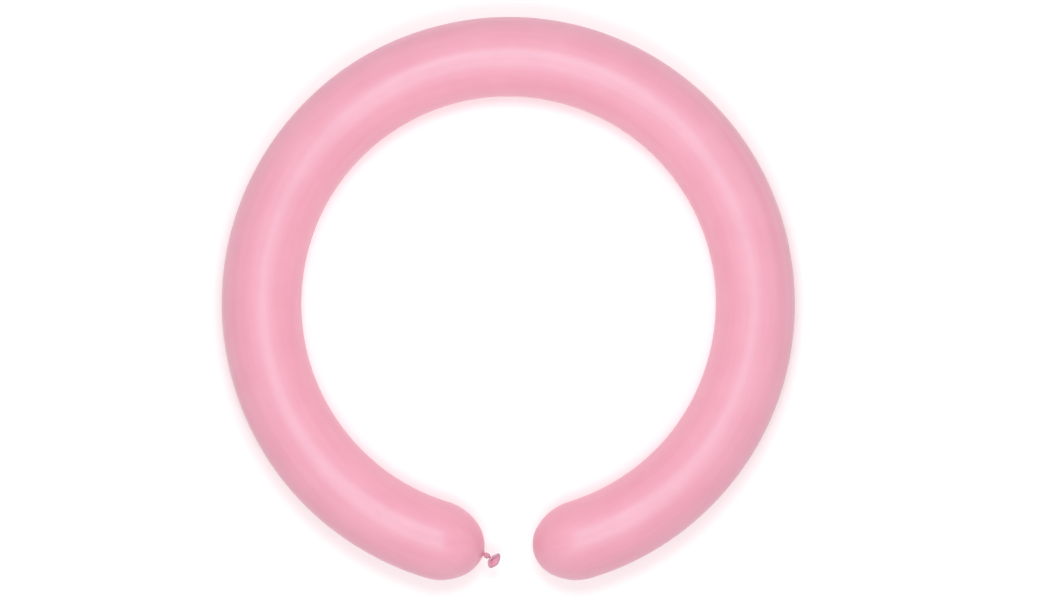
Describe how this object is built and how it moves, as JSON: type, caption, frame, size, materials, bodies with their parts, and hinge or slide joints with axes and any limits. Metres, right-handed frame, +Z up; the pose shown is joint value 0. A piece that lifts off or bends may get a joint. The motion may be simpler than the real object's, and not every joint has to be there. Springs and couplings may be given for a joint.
{
  "type": "modelling balloon",
  "caption": "Long latex balloon, blown up, tied at the neck and bent into an open ring with a gap between its two domed ends.",
  "frame": {"origin": "on the floor, under the middle of the ring's outline", "axes": "+Z up out of the ring's plane, the ring lies flat; the gap faces -Y; +X runs from the tied end to the plain end across the gap"},
  "size_m": [0.548, 0.5384, 0.076],
  "materials": {
    "stretched_latex": "satin, pastel pink, opaque",
    "tied_latex": "satin, deeper pink where the film is not stretched"
  },
  "bodies": {
    "neck_arm_9": {"film_arc_01": "stretched_latex", "film_bend_01": "stretched_latex", "neck_dome": "stretched_latex", "neck_gather": "tied_latex"},
    "neck_arm_8": {"film_arc_02": "stretched_latex", "film_bend_02": "stretched_latex"},
    "neck_arm_7": {"film_arc_03": "stretched_latex", "film_bend_03": "stretched_latex"},
    "neck_arm_6": {"film_arc_04": "stretched_latex", "film_bend_04": "stretched_latex"},
    "neck_arm_5": {"film_arc_05": "stretched_latex", "film_bend_05": "stretched_latex"},
    "neck_arm_4": {"film_arc_06": "stretched_latex", "film_bend_06": "stretched_latex"},
    "neck_arm_3": {"film_arc_07": "stretched_latex", "film_bend_07": "stretched_latex"},
    "neck_arm_2": {"film_arc_08": "stretched_latex", "film_bend_08": "stretched_latex"},
    "neck_arm_1": {"film_arc_09": "stretched_latex", "film_bend_09": "stretched_latex"},
    "crown": {"film_arc_10": "stretched_latex"},
    "tip_arm_1": {"film_arc_11": "stretched_latex", "film_bend_10": "stretched_latex"},
    "tip_arm_2": {"film_arc_12": "stretched_latex", "film_bend_11": "stretched_latex"},
    "tip_arm_3": {"film_arc_13": "stretched_latex", "film_bend_12": "stretched_latex"},
    "tip_arm_4": {"film_arc_14": "stretched_latex", "film_bend_13": "stretched_latex"},
    "tip_arm_5": {"film_arc_15": "stretched_latex", "film_bend_14": "stretched_latex"},
    "tip_arm_6": {"film_arc_16": "stretched_latex", "film_bend_15": "stretched_latex"},
    "tip_arm_7": {"film_arc_17": "stretched_latex", "film_bend_16": "stretched_latex"},
    "tip_arm_8": {"film_arc_18": "stretched_latex", "film_bend_17": "stretched_latex"},
    "tip_arm_9": {"film_arc_19": "stretched_latex", "film_bend_18": "stretched_latex", "tip_dome": "stretched_latex"},
    "tied_neck": {"neck_stem": "tied_latex", "knot": "tied_latex"},
    "mouth": {"mouth_flare": "tied_latex", "rolled_rim": "tied_latex"}
  },
  "joints": [
    {"name": "neck_arm_open", "type": "hinge", "parent": "crown", "child": "neck_arm_1", "pos_m": [-0.0356, 0.22853, 0.038], "axis": [0, 0, -1], "range_deg": [-0.24, 17.35], "stiffness_Nm_per_rad": 0.03, "deforming": ["film_bend_09"]},
    {"name": "neck_arm_open_2", "type": "hinge", "parent": "neck_arm_1", "child": "neck_arm_2", "pos_m": [-0.10356, 0.20729, 0.038], "axis": [0, 0, -1], "range_deg": [-0.24, 17.35], "stiffness_Nm_per_rad": 0.03, "deforming": ["film_bend_08"]},
    {"name": "neck_arm_open_3", "type": "hinge", "parent": "neck_arm_2", "child": "neck_arm_3", "pos_m": [-0.16209, 0.16675, 0.038], "axis": [0, 0, -1], "range_deg": [-0.24, 17.35], "stiffness_Nm_per_rad": 0.03, "deforming": ["film_bend_07"]},
    {"name": "neck_arm_open_4", "type": "hinge", "parent": "neck_arm_3", "child": "neck_arm_4", "pos_m": [-0.20588, 0.1106, 0.038], "axis": [0, 0, -1], "range_deg": [-0.24, 17.35], "stiffness_Nm_per_rad": 0.03, "deforming": ["film_bend_06"]},
    {"name": "neck_arm_open_5", "type": "hinge", "parent": "neck_arm_4", "child": "neck_arm_5", "pos_m": [-0.23092, 0.04395, 0.038], "axis": [0, 0, -1], "range_deg": [-0.24, 17.35], "stiffness_Nm_per_rad": 0.03, "deforming": ["film_bend_05"]},
    {"name": "neck_arm_open_6", "type": "hinge", "parent": "neck_arm_5", "child": "neck_arm_6", "pos_m": [-0.23494, -0.02714, 0.038], "axis": [0, 0, -1], "range_deg": [-0.24, 17.35], "stiffness_Nm_per_rad": 0.03, "deforming": ["film_bend_04"]},
    {"name": "neck_arm_open_7", "type": "hinge", "parent": "neck_arm_6", "child": "neck_arm_7", "pos_m": [-0.21758, -0.09619, 0.038], "axis": [0, 0, -1], "range_deg": [-0.24, 17.35], "stiffness_Nm_per_rad": 0.03, "deforming": ["film_bend_03"]},
    {"name": "neck_arm_open_8", "type": "hinge", "parent": "neck_arm_7", "child": "neck_arm_8", "pos_m": [-0.18041, -0.15692, 0.038], "axis": [0, 0, -1], "range_deg": [-0.24, 17.35], "stiffness_Nm_per_rad": 0.03, "deforming": ["film_bend_02"]},
    {"name": "neck_arm_open_9", "type": "hinge", "parent": "neck_arm_8", "child": "neck_arm_9", "pos_m": [-0.12682, -0.2038, 0.038], "axis": [0, 0, -1], "range_deg": [-0.24, 17.35], "stiffness_Nm_per_rad": 0.03, "deforming": ["film_bend_01"]},
    {"name": "tip_arm_open", "type": "hinge", "parent": "crown", "child": "tip_arm_1", "pos_m": [0.0356, 0.22853, 0.038], "axis": [0, 0, 1], "range_deg": [-0.24, 17.35], "stiffness_Nm_per_rad": 0.03, "deforming": ["film_bend_10"]},
    {"name": "tip_arm_open_2", "type": "hinge", "parent": "tip_arm_1", "child": "tip_arm_2", "pos_m": [0.10356, 0.20729, 0.038], "axis": [0, 0, 1], "range_deg": [-0.24, 17.35], "stiffness_Nm_per_rad": 0.03, "deforming": ["film_bend_11"]},
    {"name": "tip_arm_open_3", "type": "hinge", "parent": "tip_arm_2", "child": "tip_arm_3", "pos_m": [0.16209, 0.16675, 0.038], "axis": [0, 0, 1], "range_deg": [-0.24, 17.35], "stiffness_Nm_per_rad": 0.03, "deforming": ["film_bend_12"]},
    {"name": "tip_arm_open_4", "type": "hinge", "parent": "tip_arm_3", "child": "tip_arm_4", "pos_m": [0.20588, 0.1106, 0.038], "axis": [0, 0, 1], "range_deg": [-0.24, 17.35], "stiffness_Nm_per_rad": 0.03, "deforming": ["film_bend_13"]},
    {"name": "tip_arm_open_5", "type": "hinge", "parent": "tip_arm_4", "child": "tip_arm_5", "pos_m": [0.23092, 0.04395, 0.038], "axis": [0, 0, 1], "range_deg": [-0.24, 17.35], "stiffness_Nm_per_rad": 0.03, "deforming": ["film_bend_14"]},
    {"name": "tip_arm_open_6", "type": "hinge", "parent": "tip_arm_5", "child": "tip_arm_6", "pos_m": [0.23494, -0.02714, 0.038], "axis": [0, 0, 1], "range_deg": [-0.24, 17.35], "stiffness_Nm_per_rad": 0.03, "deforming": ["film_bend_15"]},
    {"name": "tip_arm_open_7", "type": "hinge", "parent": "tip_arm_6", "child": "tip_arm_7", "pos_m": [0.21758, -0.09619, 0.038], "axis": [0, 0, 1], "range_deg": [-0.24, 17.35], "stiffness_Nm_per_rad": 0.03, "deforming": ["film_bend_16"]},
    {"name": "tip_arm_open_8", "type": "hinge", "parent": "tip_arm_7", "child": "tip_arm_8", "pos_m": [0.18041, -0.15692, 0.038], "axis": [0, 0, 1], "range_deg": [-0.24, 17.35], "stiffness_Nm_per_rad": 0.03, "deforming": ["film_bend_17"]},
    {"name": "tip_arm_open_9", "type": "hinge", "parent": "tip_arm_8", "child": "tip_arm_9", "pos_m": [0.12682, -0.2038, 0.038], "axis": [0, 0, 1], "range_deg": [-0.24, 17.35], "stiffness_Nm_per_rad": 0.03, "deforming": ["film_bend_18"]},
    {"name": "neck_swing", "type": "hinge", "parent": "neck_arm_9", "child": "tied_neck", "pos_m": [-0.0244, -0.24397, 0.038], "axis": [0, 0, 1], "range_deg": [-25, 25], "stiffness_Nm_per_rad": 0.002, "deforming": ["neck_gather"]},
    {"name": "mouth_nod", "type": "hinge", "parent": "tied_neck", "child": "mouth", "pos_m": [-0.0171, -0.24766, 0.038], "axis": [-0.5786, -0.8156, 0], "range_deg": [-20, 20], "stiffness_Nm_per_rad": 0.001}
  ],
  "couplings": [
    {"joint": "neck_arm_open_2", "follows": "neck_arm_open", "ratio": 1},
    {"joint": "neck_arm_open_3", "follows": "neck_arm_open", "ratio": 1},
    {"joint": "neck_arm_open_4", "follows": "neck_arm_open", "ratio": 1},
    {"joint": "neck_arm_open_5", "follows": "neck_arm_open", "ratio": 1},
    {"joint": "neck_arm_open_6", "follows": "neck_arm_open", "ratio": 1},
    {"joint": "neck_arm_open_7", "follows": "neck_arm_open", "ratio": 1},
    {"joint": "neck_arm_open_8", "follows": "neck_arm_open", "ratio": 1},
    {"joint": "neck_arm_open_9", "follows": "neck_arm_open", "ratio": 1},
    {"joint": "tip_arm_open_2", "follows": "tip_arm_open", "ratio": 1},
    {"joint": "tip_arm_open_3", "follows": "tip_arm_open", "ratio": 1},
    {"joint": "tip_arm_open_4", "follows": "tip_arm_open", "ratio": 1},
    {"joint": "tip_arm_open_5", "follows": "tip_arm_open", "ratio": 1},
    {"joint": "tip_arm_open_6", "follows": "tip_arm_open", "ratio": 1},
    {"joint": "tip_arm_open_7", "follows": "tip_arm_open", "ratio": 1},
    {"joint": "tip_arm_open_8", "follows": "tip_arm_open", "ratio": 1},
    {"joint": "tip_arm_open_9", "follows": "tip_arm_open", "ratio": 1}
  ]
}
